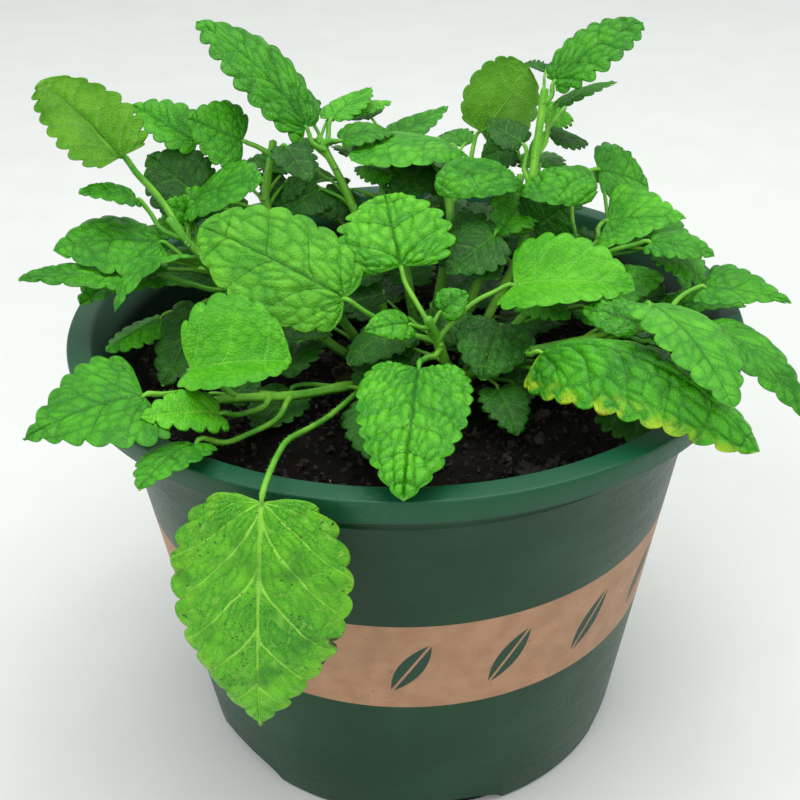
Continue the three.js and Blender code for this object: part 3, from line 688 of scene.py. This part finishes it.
leaf_nodes = sorted(name for name in frame["nodes"] if name.startswith("leaf_"))
stem_nodes = sorted(name for name in frame["nodes"] if name.startswith("stem_"))
starts, nets = [], []
for number, node in enumerate(leaf_nodes):
    rng = np.random.default_rng(100 + number)
    first, rings, last = petiole_first(*rings_of(node))
    centres = rings[:PETIOLE_RINGS].mean(1)
    radius = norm(rings[0] - centres[0], axis=1).mean()
    net = blade_net(rings[PETIOLE_RINGS:], centres[-1], last)
    style, finish, *changes = LOOKS.get(node, ("even", slots[node].removeprefix("leaf_")))
    style = {**STYLES[style], **(changes[0] if changes else {})}
    pile = Pile()
    grow_leaf(pile, net, first, centres, radius, style, 0, 1, PETIOLE_HAIRS, rng)
    starts.append(first)
    nets.append(net)
    piece = pile.make(node + "_blade", [finishes[finish], stalk_green])
    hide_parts(node)

starts = np.array(starts)
stem_lines = []
for number, node in enumerate(stem_nodes):
    rng = np.random.default_rng(300 + number)
    first, rings, last = rings_of(node)
    if first[2] > last[2]:
        first, rings, last = last, rings[::-1], first
    centres = rings.mean(1)
    size = norm(rings - centres[:, None], axis=2).mean(1)
    path = np.concatenate([[first - [0, 0, 1.5 * MM]], centres, [last]])
    count = int(runs(path)[-1] / (0.8 * MM))
    line, ahead, _ = along_path(path, count)
    thick = np.interp(np.linspace(0, 1, count), np.linspace(0, 1, len(size)), size)
    stem_lines.append(line)
    close = norm(line[:, None] - starts[None], axis=2).min(1)
    thick = thick * (1 + 0.28 * np.exp(-((close / (2.2 * MM)) ** 2)))
    pile = Pile()
    rings = tube(line, ahead, thick, 16, 0.1, math.pi / 4)
    pile.add(*skin(rings, line[0], line[-1] + ahead[-1] * thick[-1] * 0.5))
    hairs(pile, line, ahead, thick, *STEM_HAIRS, rng, 0)
    piece = pile.make(node + "_stalk", [stalk_green])
    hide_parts(node)


# Small leaves that are too many for CAD nodes, by shoot. Base and tip of each blade in millimetres, with
# heights above the soil, then its width, the way its face looks, and its style and its finish where they
# aren't "even" and "dark". The "dark" finish is painted shade.
UP, FRONT = (0, -0.25, 1), (0, -0.7, 0.7)
SMALL_LEAVES = {
    "middle": [
        ((25, -14, 20), (19, -34, 15), 20, (0, -0.5, 0.85), "rugose", "dark"),
        ((12, 12, 36), (25, -4, 28), 18, FRONT),
        ((31, -6, 23), (43, -14, 21), 10, UP, "soft", "mature"),
        ((1, -16, 14), (-14, -25, 9), 14, UP),
        ((-17, 0, 18), (-28, -8, 17), 12, UP),
        ((7, -4, 20), (17, -16, 15), 14, FRONT),
        ((35, 20, 42), (25, 8, 35), 16, FRONT, "even", "mature"),
        ((44, 16, 27), (57, 12, 22), 16, FRONT, "rugose", "dark"),
        ((-7, 10, 29), (-22, 4, 25), 16, FRONT),
    ],
    "left": [
        ((-65, -8, 20), (-77, -22, 18), 10, UP, "soft", "mature"),
        ((-71, 2, 30), (-84, -14, 27), 13, UP, "soft", "mature"),
        ((-58, 15, 40), (-52, 10, 44), 8, FRONT, "young", "fresh"),
        ((-59, 15, 40), (-65, 12, 44), 8, FRONT, "young", "fresh"),
        ((-58, 16, 41), (-58, 21, 47), 7, FRONT, "young", "fresh"),
        ((-60, 13, 38), (-67, 6, 37), 9, FRONT, "young", "mature"),
        ((-50, -38, 13), (-54, -50, 13), 12, UP, "soft", "dark"),
        ((-45, 14, 31), (-53, 6, 28), 14, FRONT),
        ((-33, 36, 41), (-38, 26, 37), 14, FRONT),
        ((-24, 34, 39), (-34, 24, 36), 14, FRONT),
        ((-15, 36, 38), (-24, 26, 35), 12, FRONT),
        ((-28, 50, 40), (-38, 46, 42), 7, UP, "soft", "bright"),
    ],
    "back": [
        ((-20, 52, 56), (-3, 58, 57), 8, UP, "soft", "bright"),
        ((42, 58, 65), (36, 62, 66), 4, UP, "soft", "dark"),
        ((49, 62, 52), (43, 58, 49), 9, FRONT, "soft", "bright"),
        ((33, 48, 45), (23, 46, 43), 12, FRONT),
        ((8, 40, 44), (-4, 30, 38), 14, FRONT),
        ((59, 52, 38), (70, 44, 34), 14, FRONT, "even", "mature"),
    ],
    "right": [
        ((70, -2, 17), (91, -6, 20), 10, UP, "rugose", "mature"),
        ((73, 16, 27), (77, 2, 19), 9, (0.5, 0, 0.8), "rugose", "mature"),
        ((70, 24, 28), (83, 14, 24), 14, UP, "even", "mature"),
        ((56, -20, 24), (66, -28, 22), 14, UP, "rugose", "dark"),
        ((50, -45, 14), (62, -60, 12), 16, UP),
        ((60, 8, 18), (74, 4, 12), 14, FRONT),
    ],
}


def free_net(base, tip, width, face, rng):
    """A blade's net from its base and tip: the half width rises as a power of the distance from the base
    and falls as another from the tip, the edges sweep back at the base, and the midrib arches."""
    chord = tip - base
    length = norm(chord)
    ahead = chord / length
    up = np.array(face, float)
    up = unit(up - ahead * (up @ ahead))
    across = np.cross(ahead, up)
    t = STATIONS[:, None]
    broad, taper, arch = 0.38, 0.75, length * rng.uniform(0.04, 0.12)
    widest = broad / (broad + taper)
    half = width / 2 * (t / widest) ** broad * ((1 - t) / (1 - widest)) ** taper
    back = 0.1 * length * np.minimum(1, t / 0.03) * np.maximum(0, 1 - t / 0.5) ** 1.5
    fold = math.radians(rng.uniform(-18, 22))
    column = COLUMNS[None]
    side = (half * column * math.cos(fold))[..., None] * across
    rise = 4 * arch * t * (1 - t) + half * np.abs(column) * math.sin(fold)
    along = length * t - back * np.abs(column) ** 1.5
    return base + side + rise[..., None] * up + along[..., None] * ahead


# Leaves that fill the shoots out. Each row: how far the bases range along x, y and in height above the
# soil, the blade lengths, all in millimetres, how many leaves, their style and their finish. The low rows
# take "dark", painted shade for leaves under the others.
FILLING = [
    ((-70, 70), (-55, 55), (5, 14), (14, 24), 26, "even", "dark"),
    ((-30, 40), (-15, 35), (14, 34), (12, 20), 12, "even", "dark"),
    ((-84, -38), (-12, 40), (20, 44), (14, 24), 16, "even", "mature"),
    ((34, 84), (-10, 48), (18, 42), (14, 24), 14, "even", "mature"),
    ((-35, 55), (30, 68), (26, 54), (12, 22), 16, "even", "mature"),
]
IN_FRONT = np.array([0, -0.85, 0.52])  # towards someone who looks from the front and above
OVERHEAD = np.array([0, 0.52, 0.85])
INSIDE_RADIUS, RIM_CLEAR = 74, 24  # a leaf is inside the pot's wall or higher than its rim
REACH = 90  # how far from the axis a leaf above the rim may end
NOT_ABOVE = 0.1  # added to the distance of places on a stem that are too high, so that none is chosen


def above_soil(place):
    return np.array(place) * MM + [0, 0, SOIL_TOP]


def filling_rows(rng, stems, leaves):
    """Draws places and directions at random. A leaf is kept if a stem passes near and below its base, its
    net stays clear of every net and stem so far, and it doesn't hide a leaf that is a CAD node from
    someone who looks from the front and above."""
    kept = []
    taken = np.concatenate([stems, leaves])
    seen, depth = np.stack([leaves[:, 0], leaves @ OVERHEAD], -1), leaves @ IN_FRONT
    for along_x, along_y, heights, lengths, wanted, style, finish in FILLING:
        found = 0
        for _ in range(60 * wanted):
            base = np.array([rng.uniform(*along_x), rng.uniform(*along_y), rng.uniform(*heights)])
            lead = math.atan2(base[1], base[0]) + rng.uniform(-1.3, 1.3)
            size = rng.uniform(*lengths)
            tip = base + size * np.array([math.cos(lead), math.sin(lead), rng.uniform(-0.35, 0.2)])
            outer = tip if np.hypot(*tip[:2]) > np.hypot(*base[:2]) else base
            inside = np.hypot(*outer[:2]) < (INSIDE_RADIUS if outer[2] < RIM_CLEAR else REACH)
            near = norm(stems - above_soil(base), axis=1)
            near += NOT_ABOVE * (stems[:, 2] > above_soil(base)[2])
            if found == wanted or not inside or not 3 * MM < near.min() < 20 * MM:
                continue
            face = (0.3 * math.cos(lead), 0.3 * math.sin(lead) - 0.2, 1)
            ends = above_soil(base), above_soil(tip)
            net = free_net(*ends, 0.8 * size * MM, face, np.random.default_rng(1)).reshape(-1, 3)
            if norm(net[::3, None] - taken[None], axis=2).min() < 3.2 * MM:
                continue
            flat = np.stack([net[:, 0], net @ OVERHEAD], -1)
            over = norm(flat[:, None] - seen[None], axis=2) < 3 * MM
            if (over & ((net @ IN_FRONT)[:, None] > depth)).any(0).sum() > 3:
                continue
            kept.append((tuple(base), tuple(tip), 0.8 * size, face, style, finish))
            taken = np.concatenate([taken, net])
            found += 1
    return kept


def make_small_leaves():
    """Each small leaf's petiole springs from the nearest place lower down on a stem."""
    places = np.concatenate(stem_lines)
    leaf_points = np.concatenate([net.reshape(-1, 3) for net in nets])
    groups = {**SMALL_LEAVES, "filling": filling_rows(np.random.default_rng(23), places, leaf_points)}
    for group, rows in groups.items():
        cell = CELL * (2 if group == "filling" else 1.3)
        rng = np.random.default_rng(500 + len(group))
        # Rows that give no style and finish take "even" and "dark", the painted-shade finish.
        rows = [(*row, "even", "dark")[:6] for row in rows]
        used = sorted({row[5] for row in rows})
        pile = Pile()
        for base, tip, width, face, style, finish in rows:
            base, tip = above_soil(base), above_soil(tip)
            net = free_net(base, tip, width * MM, face, rng)
            gap = norm(places - base, axis=1) + NOT_ABOVE * (places[:, 2] > base[2] - 2 * MM)
            root = places[(gap + 0.02 * (gap < 5 * MM)).argmin()]
            bow = (root + base) / 2 + [0, 0, 0.12 * norm(root - base)]
            weight = np.linspace(0, 1, 5)[:, None]
            centres = (1 - weight) ** 2 * root + 2 * weight * (1 - weight) * bow + weight**2 * base
            radius = MM * (0.45 + 0.014 * width)
            style = {**STYLES[style], "cell": cell}
            slot = used.index(finish)
            grow_leaf(pile, net, root, centres, radius, style, slot, len(used), SMALL_HAIRS, rng)
        pile.make("small_leaves_" + group, [*(finishes[k] for k in used), stalk_green])


make_small_leaves()


# ---- Soil ----

SOIL_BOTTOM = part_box("soil")[0].z
SOIL_AROUND, SOIL_ROWS = ((420, 140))
CRUMBS = 2600


def crown_height(radius):
    return CROWN_RISE * np.exp(-((radius / (0.8 * CROWN_RADIUS)) ** 4))


def make_soil():
    """The soil is one closed surface of revolution: its top rises and falls with several sizes of noise,
    and swells over the root crown, and its side and bottom follow the inside of the pot."""
    rng = np.random.default_rng(7)
    angle = np.arange(SOIL_AROUND) * 2 * np.pi / SOIL_AROUND
    radius = np.linspace(0, 1, SOIL_ROWS)[1:] ** 0.9 * SOIL_RADIUS
    r, a = np.meshgrid(radius, angle, indexing="ij")
    x, y = r * np.cos(a), r * np.sin(a)
    bumps = 1.0 * drift(x * 260, y * 260, rng, 3) + 0.7 * np.abs(drift(x * 900, y * 900, rng, 3))
    grains = 1 - np.exp(-cells(x * 500 + 90, y * 500 + 90, rng) / 0.3)
    edge = 1 - smooth(0.96, 1, r / SOIL_RADIUS)
    z = SOIL_TOP - 0.6 * MM + crown_height(r) + (bumps + 0.9 * grains) * MM * edge
    top = np.stack([x, y, z], -1)
    foot = SOIL_RADIUS * 0.82
    drop = np.linspace(0, 1, 8)[1:]
    radii, heights = SOIL_RADIUS + (foot - SOIL_RADIUS) * drop, SOIL_TOP + (SOIL_BOTTOM - SOIL_TOP) * drop
    rings = np.concatenate([top, turned(radii, heights, SOIL_AROUND)])
    pile = Pile()
    pile.add(*skin(rings, [0, 0, SOIL_TOP + CROWN_RISE], [0, 0, SOIL_BOTTOM]))
    piece = pile.make("soil_bed", [soil_finish])
    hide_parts("soil")


def make_crumbs():
    """Loose crumbs: lumpy balls of 26 points, most under a millimetre and a few of three, half sunk."""
    rng = np.random.default_rng(11)
    size = MM * np.minimum(2.4, 0.32 * rng.pareto(2.2, CRUMBS) + 0.35)
    far = np.sqrt(rng.uniform(0, 1, CRUMBS)) * (SOIL_RADIUS - 3 * MM)
    angle = rng.uniform(0, 2 * np.pi, CRUMBS)
    height = SOIL_TOP + crown_height(far) + 0.55 * MM
    centre = np.stack([far * np.cos(angle), far * np.sin(angle), height], -1)
    tilt, turn = np.array([0.5, 1.1, 1.9, 2.6]), np.arange(6) * np.pi / 3
    p, q = (grid.ravel() for grid in np.meshgrid(tilt, turn, indexing="ij"))
    around = np.stack([np.sin(p) * np.cos(q), np.sin(p) * np.sin(q), np.cos(p)], -1)
    ball = np.concatenate([[[0, 0, 1]], around, [[0, 0, -1]]])
    shape = ball[None] * (1 + 0.28 * rng.standard_normal((CRUMBS, len(ball), 1)).clip(-1.6, 1.6))
    shape = shape * rng.uniform(0.65, 1.25, (CRUMBS, 1, 3))
    points = centre[:, None] + shape * size[:, None, None]
    _, quads, tris = skin(ball[1:-1].reshape(4, 6, 3), ball[0], ball[-1])
    offset = (np.arange(CRUMBS) * len(ball))[:, None, None]
    pile = Pile()
    tone = np.repeat(rng.uniform(0, 1, CRUMBS), len(ball))
    faces = (quads[None] + offset).reshape(-1, 4), (tris[None] + offset).reshape(-1, 3)
    pile.add(points.reshape(-1, 3), *faces, tone=tone)
    pile.make("soil_crumbs", [crumb_finish], smooth=False)


def crumb_material():
    """Crumbs from near black to peat brown, with a few pale grains among them."""
    f = Finish("soil_crumb")
    place = f.place()
    tone = f.attribute("tone")
    fine = f.noise(place, 1800, 3)
    colour = f.mix(tone, (0.002, 0.0016, 0.0012), (0.02, 0.014, 0.009))
    colour = f.mix(f.ramp(tone, 0.985, 0.99), colour, (0.2, 0.17, 0.13))
    colour = f.mix(f.ramp(fine, 0.4, 0.7, 0, 0.5), colour, (0.008, 0.006, 0.004))
    return f.done(colour, 0.85, f.bump(fine, 0.0002, 0.8))


soil_finish = plain("soil_dark", (0.001, 0.001, 0.0008), (0.009, 0.007, 0.005), 1.0, 420, 0.0004)
crumb_finish = crumb_material()
make_soil()
make_crumbs()
crown_finish = plain("crown_bark", (0.03, 0.02, 0.01), (0.12, 0.08, 0.04), 0.85, 300)
frame["nodes"]["root_crown"].data.materials.clear()
frame["nodes"]["root_crown"].data.materials.append(crown_finish)


# ---- Pot ----

BODY_TOP = RIM_RADIUS - 9.5 * MM
BASE_RADIUS = 63.4 * MM
WALL = 1.6 * MM
FLOOR = 2.2 * MM
BEAD_Z = POT_HEIGHT - 15.4 * MM
SHOULDER_Z = POT_HEIGHT - 6.4 * MM
SKIRT_Z = POT_HEIGHT - 6.2 * MM
BAND_LOW, BAND_HIGH = 49 * MM, 80 * MM
SLOTS = 6
SLOT_FIRST = math.radians(-20)
SLOT_HALF, SLOT_RISE = 15 * MM, 5.5 * MM
POT_AROUND = 240  # points round the pot
MOTIFS = 18  # leaf shapes round the band


def body_radius(z):
    return BASE_RADIUS + (BODY_TOP - BASE_RADIUS) * z / SHOULDER_Z


def rounded(corners, radius, steps=4):
    """An outline with each corner cut back by its radius and turned in a few steps along a parabola."""
    made = [np.array(corners[0])]
    for before, here, after, r in zip(corners, corners[1:], corners[2:], radius):
        before, here, after = np.array(before), np.array(here), np.array(after)
        r = min(r, 0.45 * norm(before - here), 0.45 * norm(after - here))
        a, b = here + unit(before - here) * r, here + unit(after - here) * r
        made += [(1 - u) ** 2 * a + 2 * u * (1 - u) * here + u * u * b for u in np.linspace(0, 1, steps)]
    return np.array([*made, np.array(corners[-1])])


def make_pot():
    """The pot is a profile turned about Z: up the outside, over the bead, under and round the rim, and
    down the inside to the floor. Half-elliptical arches are then cut from its foot."""
    inner, r, z = body_radius(SHOULDER_Z) - WALL, RIM_RADIUS, POT_HEIGHT
    corners = [
        (0.0, 0.0),
        (BASE_RADIUS, 0.0),
        *((body_radius(h * MM), h * MM) for h in (20, 60, 100)),
        (body_radius(BEAD_Z), BEAD_Z),
        (body_radius(BEAD_Z) + 1.4 * MM, BEAD_Z + 0.5 * MM),
        (body_radius(BEAD_Z) + 1.1 * MM, BEAD_Z + 1.6 * MM),
        (body_radius(SHOULDER_Z) + 1.1 * MM, SHOULDER_Z - 1.0 * MM),
        (r - 4.8 * MM, z - 2 * MM),
        (r - 1.6 * MM, z - 2 * MM),
        (r - 2.0 * MM, SKIRT_Z),
        (r - 0.5 * MM, SKIRT_Z),
        (r, z - 1.0 * MM),
        (r - 0.2 * MM, z),
        (r - 5.9 * MM, z - 0.1 * MM),
        (r - 6.6 * MM, z - 1.0 * MM),
        (inner, SHOULDER_Z - 2 * MM),
        (body_radius(60 * MM) - WALL, 60 * MM),
        (BASE_RADIUS - WALL, FLOOR),
        (0.0, FLOOR),
    ]
    bend = [1.5, 5, 5, 5, 0.4, 0.4, 0.4, 0.8, 0.6, 0.5, 0.5, 0.4, 0.6, 0.8, 0.9, 0.6, 2, 5, 2]
    profile = rounded(corners, np.array(bend) * MM)
    pile = Pile()
    pile.add(*skin(turned(*profile[1:-1].T, POT_AROUND), [0, 0, 0], [0, 0, FLOOR]))
    piece = pile.make("pot_body", [pot_finish])
    for number in range(SLOTS):
        cut_slot(piece, SLOT_FIRST + number * 2 * math.pi / SLOTS)
    piece.data.materials.clear()
    piece.data.materials.append(pot_finish)
    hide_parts("pot")
    for face in piece.data.polygons:
        face.use_smooth = True
    piece.data.set_sharp_from_angle(angle=math.radians(38))


def cut_slot(piece, angle):
    """Takes an elliptical rod that lies along the radius out of the pot's foot."""
    turn = np.arange(40) * 2 * np.pi / 40
    out = np.array([math.cos(angle), math.sin(angle), 0])
    side = np.array([-math.sin(angle), math.cos(angle), 0])
    section = side * (SLOT_HALF * np.cos(turn))[:, None]
    section[:, 2] = SLOT_RISE * np.sin(turn)
    ends = [out * (BASE_RADIUS + reach * MM) for reach in (-10, 10)]
    pile = Pile()
    rings = np.stack([section + end for end in ends])
    pile.add(*skin(rings, ends[0], ends[1]))
    cutter = pile.make("slot_cutter", [pot_finish])
    made = piece.modifiers.new("slot", "BOOLEAN")
    made.operation = "DIFFERENCE"
    made.solver = "EXACT"
    made.object = cutter
    with bpy.context.temp_override(object=piece, active_object=piece, selected_objects=[piece]):
        bpy.ops.object.modifier_apply(modifier=made.name)
    bpy.data.objects.remove(cutter)


def pot_material():
    """Dark green moulded plastic with fine scuffs and dust, the rim's top painted a lighter green as painted
    light from above, the inside painted near black as painted shade, and a printed tan band that carries a
    row of plain green leaf shapes. The band is where the height lies between its two edges, and a leaf shape
    is where the distance from its middle line is less than a parabola along it."""
    f = Finish("pot_plastic")
    place = f.place()
    x, y, z = f.parts(place)
    cloud = f.noise(place, 28, 4)
    speck = f.noise(place, 900, 2)
    streak = f.noise(f.scaled(place, (60, 60, 900)), 1.0, 3)
    scratch = f.noise(f.scaled(place, (900, 900, 60)), 1.0, 2)
    green = f.mix(f.ramp(cloud, 0.3, 0.7), (0.001, 0.031, 0.01), (0.003, 0.044, 0.015))
    radius = f.math("SQRT", f.math("MULTIPLY_ADD", x, x, f.times(y, y)))
    # Painted light: the rim's top is painted a lighter green, as where light from above falls on it.
    rim = f.ramp(z, POT_HEIGHT - 7 * MM, POT_HEIGHT - 5 * MM)
    green = f.mix(f.times(rim, 0.6), green, (0.006, 0.09, 0.038))
    dust = f.times(f.ramp(cloud, 0.48, 0.75), f.ramp(speck, 0.4, 0.7))
    green = f.mix(f.times(dust, 0.12), green, (0.2, 0.22, 0.17))
    # Painted shade: the inner wall, the floor and the underside, all nearer the axis than the outer wall, are
    # painted near black.
    outside = f.math("MULTIPLY_ADD", z, (BODY_TOP - BASE_RADIUS) / SHOULDER_Z, BASE_RADIUS)
    inside = f.ramp(f.math("SUBTRACT", outside, radius), 0.0006, 0.001)
    green = f.mix(f.times(inside, 0.6), green, (0.006, 0.01, 0.008))

    turn = f.times(f.math("ARCTAN2", y, x), MOTIFS / (2 * math.pi))
    local = f.math("SUBTRACT", f.math("FRACT", f.math("ADD", turn, 100.0)), 0.5)
    rise = f.math("DIVIDE", f.math("SUBTRACT", z, (BAND_LOW + BAND_HIGH) / 2), 11 * MM)
    slant = f.math("MULTIPLY_ADD", local, 1.2, f.times(rise, 0.9))
    thwart = f.math("MULTIPLY_ADD", local, 2.4, f.times(rise, -0.6))
    width = f.times(f.math("SUBTRACT", 1.0, f.times(slant, slant)), 0.36)
    leaf = f.ramp(f.math("SUBTRACT", width, f.math("ABSOLUTE", thwart)), 0.0, 0.03)
    leaf = f.times(leaf, f.ramp(f.math("ABSOLUTE", slant), 0.96, 1.0, 1, 0))
    leaf = f.times(leaf, f.ramp(f.math("ABSOLUTE", thwart), 0.03, 0.05))
    top_edge = f.ramp(z, BAND_HIGH, BAND_HIGH + 0.0003, 1, 0)
    band = f.times(f.ramp(z, BAND_LOW, BAND_LOW + 0.0003), top_edge)
    band = f.times(band, f.math("SUBTRACT", 1.0, inside))
    band = f.times(band, f.ramp(f.noise(place, 700, 4), 0.68, 0.74, 1, 0.3))
    tan = f.mix(f.ramp(f.noise(place, 160, 3), 0.3, 0.7), (0.33, 0.18, 0.1), (0.4, 0.225, 0.13))
    tan = f.mix(leaf, tan, (0.012, 0.05, 0.028))
    colour = f.mix(band, green, tan)
    rough = f.ramp(f.math("MULTIPLY_ADD", streak, 0.5, f.times(speck, 0.5)), 0.3, 0.7, 0.32, 0.46)
    rough = f.math("MULTIPLY_ADD", band, 0.12, rough)
    relief = f.math("MULTIPLY_ADD", scratch, 0.6, f.times(streak, 0.3))
    return f.done(colour, rough, f.bump(relief, 0.00012, 0.35), Specular_IOR_Level=0.28)


pot_finish = pot_material()
make_pot()


# ---- Room ----

CAMERA_PLACE = (0.0, -0.2919, 0.2766)
CAMERA_DOWN = 0.5477
CAMERA_ROLL = -0.0194
CAMERA_TURN = 0.0064
LIGHTS_AIM = Vector((0, 0, 0.12))
FLOOR_REACH = 6.0


def add_camera():
    data = bpy.data.cameras.new("camera")
    data.lens = 54
    data.sensor_width = 36
    data.clip_start = 0.01
    camera = placed("camera", data)
    turn = Matrix.Rotation(CAMERA_TURN, 4, "Z") @ Matrix.Rotation(math.pi / 2 - CAMERA_DOWN, 4, "X")
    camera.matrix_world = Matrix.Translation(CAMERA_PLACE) @ turn @ Matrix.Rotation(CAMERA_ROLL, 4, "Z")
    bpy.context.scene.camera = camera


def add_light(name, place, size, power):
    data = bpy.data.lights.new(name, "AREA")
    data.shape = "DISK"
    data.size = size
    data.energy = power
    lamp = placed(name, data)
    facing = (LIGHTS_AIM - Vector(place)).to_track_quat("-Z", "Y")
    lamp.matrix_world = Matrix.Translation(place) @ facing.to_matrix().to_4x4()


def add_floor():
    mesh = bpy.data.meshes.new("floor")
    corners = [(x * FLOOR_REACH, y * FLOOR_REACH, 0) for x, y in ((-1, -1), (1, -1), (1, 1), (-1, 1))]
    mesh.from_pydata(corners, [], [(0, 1, 2, 3)])
    mesh.materials.append(plain("floor_paper", (0.62, 0.635, 0.625), (0.65, 0.665, 0.655), 0.8, 3, 0.0))
    placed("floor", mesh)


def add_world():
    world = bpy.data.worlds.new("room")
    bpy.context.scene.world = world
    world.use_nodes = True
    back = world.node_tree.nodes["Background"]
    back.inputs["Color"].default_value = (0.97, 1.0, 0.98, 1)
    back.inputs["Strength"].default_value = 0.78


bpy.context.scene.view_settings.view_transform = "Standard"
add_camera()
add_world()
add_floor()
add_light("key", (0.2, 0.1, 1.3), 1.3, 13)
add_light("fill", (-0.7, -0.7, 1.0), 1.2, 6)
add_light("front", (0.25, -0.9, 0.6), 0.5, 1.5)
